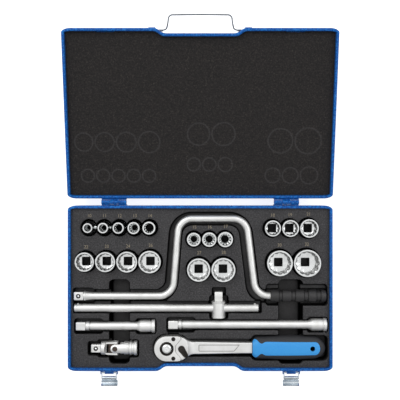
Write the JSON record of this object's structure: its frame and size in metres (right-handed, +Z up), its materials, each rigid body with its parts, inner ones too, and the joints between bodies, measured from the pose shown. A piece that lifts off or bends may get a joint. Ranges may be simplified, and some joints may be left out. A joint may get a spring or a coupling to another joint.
{
  "type": "socket wrench set in case",
  "caption": "Open folding steel case with a formed tray of twelve-point sockets, a reversible ratchet, speed brace, sliding T-handle, extensions and universal joint.",
  "frame": {"origin": "centre of the flat underside of the case's base", "axes": "+Z up out of the base, +Y from the latches to the hinges and the open lid, +X to the right"},
  "size_m": [0.416, 0.5758, 0.0989],
  "materials": {
    "case_paint": "structured blue hammer-effect paint on folded sheet steel",
    "zinc_plate": "bright zinc plating on stamped steel",
    "tray_plastic": "fine-grained black thermoformed sheet",
    "lid_foam": "dark closed-cell foam",
    "socket_chrome": "polished chrome with satin flanks",
    "tool_chrome": "satin chrome plating",
    "black_steel": "black oxide",
    "brace_grip_black": "moulded black plastic",
    "grip_grey": "dark grey soft plastic",
    "grip_blue": "azure blue moulded plastic"
  },
  "bodies": {
    "case": {"case_base": "case_paint", "tool_tray": "tray_plastic", "hinge_base_leaf_left": "case_paint", "hinge_base_leaf_right": "case_paint", "hinge_pin_left": "zinc_plate", "hinge_pin_right": "zinc_plate", "latch_bracket_left": "case_paint", "latch_bracket_right": "case_paint"},
    "lid": {"case_lid": "case_paint", "lid_foam": "lid_foam", "hinge_lid_leaf_left": "case_paint", "hinge_lid_leaf_right": "case_paint"},
    "handle": {"carry_handle": "zinc_plate"},
    "latch_link_left": {"latch_link_left": "zinc_plate"},
    "latch_lever_left": {"latch_lever_left": "zinc_plate"},
    "latch_link_right": {"latch_link_right": "zinc_plate"},
    "latch_lever_right": {"latch_lever_right": "zinc_plate"},
    "socket_10": {"socket_10": "socket_chrome"},
    "socket_11": {"socket_11": "socket_chrome"},
    "socket_12": {"socket_12": "socket_chrome"},
    "socket_13": {"socket_13": "socket_chrome"},
    "socket_14": {"socket_14": "socket_chrome"},
    "socket_22": {"socket_22": "socket_chrome"},
    "socket_23": {"socket_23": "socket_chrome"},
    "socket_24": {"socket_24": "socket_chrome"},
    "socket_26": {"socket_26": "socket_chrome"},
    "socket_15": {"socket_15": "socket_chrome"},
    "socket_16": {"socket_16": "socket_chrome"},
    "socket_17": {"socket_17": "socket_chrome"},
    "socket_27": {"socket_27": "socket_chrome"},
    "socket_28": {"socket_28": "socket_chrome"},
    "socket_18": {"socket_18": "socket_chrome"},
    "socket_19": {"socket_19": "socket_chrome"},
    "socket_21": {"socket_21": "socket_chrome"},
    "socket_30": {"socket_30": "socket_chrome"},
    "socket_32": {"socket_32": "socket_chrome"},
    "brace": {"brace_crank": "tool_chrome"},
    "brace_grip": {"brace_grip": "brace_grip_black"},
    "brace_ball": {"brace_ball": "tool_chrome"},
    "t_handle": {"t_bar": "tool_chrome"},
    "t_slider": {"t_slider": "tool_chrome"},
    "extension_short": {"extension_short": "tool_chrome"},
    "extension_long": {"extension_long": "tool_chrome"},
    "joint": {"joint_socket_yoke": "tool_chrome"},
    "joint_cross": {"joint_cross": "tool_chrome"},
    "joint_drive": {"joint_drive_yoke": "tool_chrome"},
    "joint_ball": {"joint_ball": "tool_chrome"},
    "ratchet": {"ratchet_body": "tool_chrome", "ratchet_cover": "tool_chrome", "ratchet_screw_front": "black_steel", "ratchet_screw_rear": "black_steel", "ratchet_grip": "grip_grey", "ratchet_inlay": "grip_blue"},
    "ratchet_drive": {"ratchet_drive": "tool_chrome"},
    "ratchet_button": {"ratchet_button": "tool_chrome"},
    "ratchet_lever": {"ratchet_lever": "black_steel"}
  },
  "joints": [
    {"name": "lid_hinge", "type": "hinge", "parent": "case", "child": "lid", "pos_m": [0, 0.1353, 0.04215], "axis": [-1, 0, 0], "range_deg": [-168, 0]},
    {"name": "handle_hinge", "type": "hinge", "parent": "lid", "child": "handle", "pos_m": [0, 0.39318, 0.08761], "axis": [-1, 0, 0], "range_deg": [-75, 0]},
    {"name": "latch_link_left_hinge", "type": "hinge", "parent": "case", "child": "latch_link_left", "pos_m": [-0.144, -0.1345, 0.03], "axis": [1, 0, 0], "range_deg": [-90, 0]},
    {"name": "latch_lever_left_hinge", "type": "hinge", "parent": "latch_link_left", "child": "latch_lever_left", "pos_m": [-0.144, -0.1425, 0.03], "axis": [1, 0, 0], "range_deg": [-30, 0]},
    {"name": "latch_link_right_hinge", "type": "hinge", "parent": "case", "child": "latch_link_right", "pos_m": [0.144, -0.1345, 0.03], "axis": [1, 0, 0], "range_deg": [-90, 0]},
    {"name": "latch_lever_right_hinge", "type": "hinge", "parent": "latch_link_right", "child": "latch_lever_right", "pos_m": [0.144, -0.1425, 0.03], "axis": [1, 0, 0], "range_deg": [-30, 0]},
    {"name": "socket_10_lift", "type": "slide", "parent": "case", "child": "socket_10", "axis": [0, 0, 1], "range_m": [0, 0.06]},
    {"name": "socket_11_lift", "type": "slide", "parent": "case", "child": "socket_11", "axis": [0, 0, 1], "range_m": [0, 0.06]},
    {"name": "socket_12_lift", "type": "slide", "parent": "case", "child": "socket_12", "axis": [0, 0, 1], "range_m": [0, 0.06]},
    {"name": "socket_13_lift", "type": "slide", "parent": "case", "child": "socket_13", "axis": [0, 0, 1], "range_m": [0, 0.06]},
    {"name": "socket_14_lift", "type": "slide", "parent": "case", "child": "socket_14", "axis": [0, 0, 1], "range_m": [0, 0.06]},
    {"name": "socket_22_lift", "type": "slide", "parent": "case", "child": "socket_22", "axis": [0, 0, 1], "range_m": [0, 0.06]},
    {"name": "socket_23_lift", "type": "slide", "parent": "case", "child": "socket_23", "axis": [0, 0, 1], "range_m": [0, 0.06]},
    {"name": "socket_24_lift", "type": "slide", "parent": "case", "child": "socket_24", "axis": [0, 0, 1], "range_m": [0, 0.06]},
    {"name": "socket_26_lift", "type": "slide", "parent": "case", "child": "socket_26", "axis": [0, 0, 1], "range_m": [0, 0.06]},
    {"name": "socket_15_lift", "type": "slide", "parent": "case", "child": "socket_15", "axis": [0, 0, 1], "range_m": [0, 0.06]},
    {"name": "socket_16_lift", "type": "slide", "parent": "case", "child": "socket_16", "axis": [0, 0, 1], "range_m": [0, 0.06]},
    {"name": "socket_17_lift", "type": "slide", "parent": "case", "child": "socket_17", "axis": [0, 0, 1], "range_m": [0, 0.06]},
    {"name": "socket_27_lift", "type": "slide", "parent": "case", "child": "socket_27", "axis": [0, 0, 1], "range_m": [0, 0.06]},
    {"name": "socket_28_lift", "type": "slide", "parent": "case", "child": "socket_28", "axis": [0, 0, 1], "range_m": [0, 0.06]},
    {"name": "socket_18_lift", "type": "slide", "parent": "case", "child": "socket_18", "axis": [0, 0, 1], "range_m": [0, 0.06]},
    {"name": "socket_19_lift", "type": "slide", "parent": "case", "child": "socket_19", "axis": [0, 0, 1], "range_m": [0, 0.06]},
    {"name": "socket_21_lift", "type": "slide", "parent": "case", "child": "socket_21", "axis": [0, 0, 1], "range_m": [0, 0.06]},
    {"name": "socket_30_lift", "type": "slide", "parent": "case", "child": "socket_30", "axis": [0, 0, 1], "range_m": [0, 0.06]},
    {"name": "socket_32_lift", "type": "slide", "parent": "case", "child": "socket_32", "axis": [0, 0, 1], "range_m": [0, 0.06]},
    {"name": "brace_lift", "type": "slide", "parent": "case", "child": "brace", "axis": [0, 0, 1], "range_m": [0, 0.06]},
    {"name": "brace_grip_spin", "type": "hinge", "parent": "brace", "child": "brace_grip", "pos_m": [0.155, -0.013, 0.03], "axis": [1, 0, 0], "continuous": true},
    {"name": "brace_ball_press", "type": "slide", "parent": "brace", "child": "brace_ball", "axis": [0, 0, -1], "range_m": [0, 0.0008], "stiffness_N_per_m": 400},
    {"name": "t_handle_lift", "type": "slide", "parent": "case", "child": "t_handle", "axis": [0, 0, 1], "range_m": [0, 0.06]},
    {"name": "t_slider_slide", "type": "slide", "parent": "t_handle", "child": "t_slider", "axis": [1, 0, 0], "range_m": [-0.0035, 0.0035]},
    {"name": "extension_short_lift", "type": "slide", "parent": "case", "child": "extension_short", "axis": [0, 0, 1], "range_m": [0, 0.06]},
    {"name": "extension_long_lift", "type": "slide", "parent": "case", "child": "extension_long", "axis": [0, 0, 1], "range_m": [0, 0.06]},
    {"name": "joint_lift", "type": "slide", "parent": "case", "child": "joint", "axis": [0, 0, 1], "range_m": [0, 0.06]},
    {"name": "joint_cross_turn", "type": "hinge", "parent": "joint", "child": "joint_cross", "pos_m": [-0.134, -0.0955, 0.03], "axis": [0, 0, 1], "range_deg": [-6, 6]},
    {"name": "joint_drive_turn", "type": "hinge", "parent": "joint_cross", "child": "joint_drive", "pos_m": [-0.134, -0.0955, 0.03], "axis": [0, 1, 0], "range_deg": [0, 45]},
    {"name": "joint_ball_press", "type": "slide", "parent": "joint_drive", "child": "joint_ball", "axis": [0, 0, -1], "range_m": [0, 0.0008], "stiffness_N_per_m": 400},
    {"name": "ratchet_lift", "type": "slide", "parent": "case", "child": "ratchet", "axis": [0, 0, 1], "range_m": [0, 0.06]},
    {"name": "ratchet_drive_spin", "type": "hinge", "parent": "ratchet", "child": "ratchet_drive", "pos_m": [-0.0525, -0.0945, 0.03], "axis": [0, 0, 1], "continuous": true},
    {"name": "ratchet_button_press", "type": "slide", "parent": "ratchet_drive", "child": "ratchet_button", "axis": [0, 0, -1], "range_m": [0, 0.0025], "stiffness_N_per_m": 600},
    {"name": "ratchet_lever_turn", "type": "hinge", "parent": "ratchet", "child": "ratchet_lever", "pos_m": [-0.0265, -0.0945, 0.042], "axis": [0, 0, 1], "range_deg": [0, 100]}
  ]
}
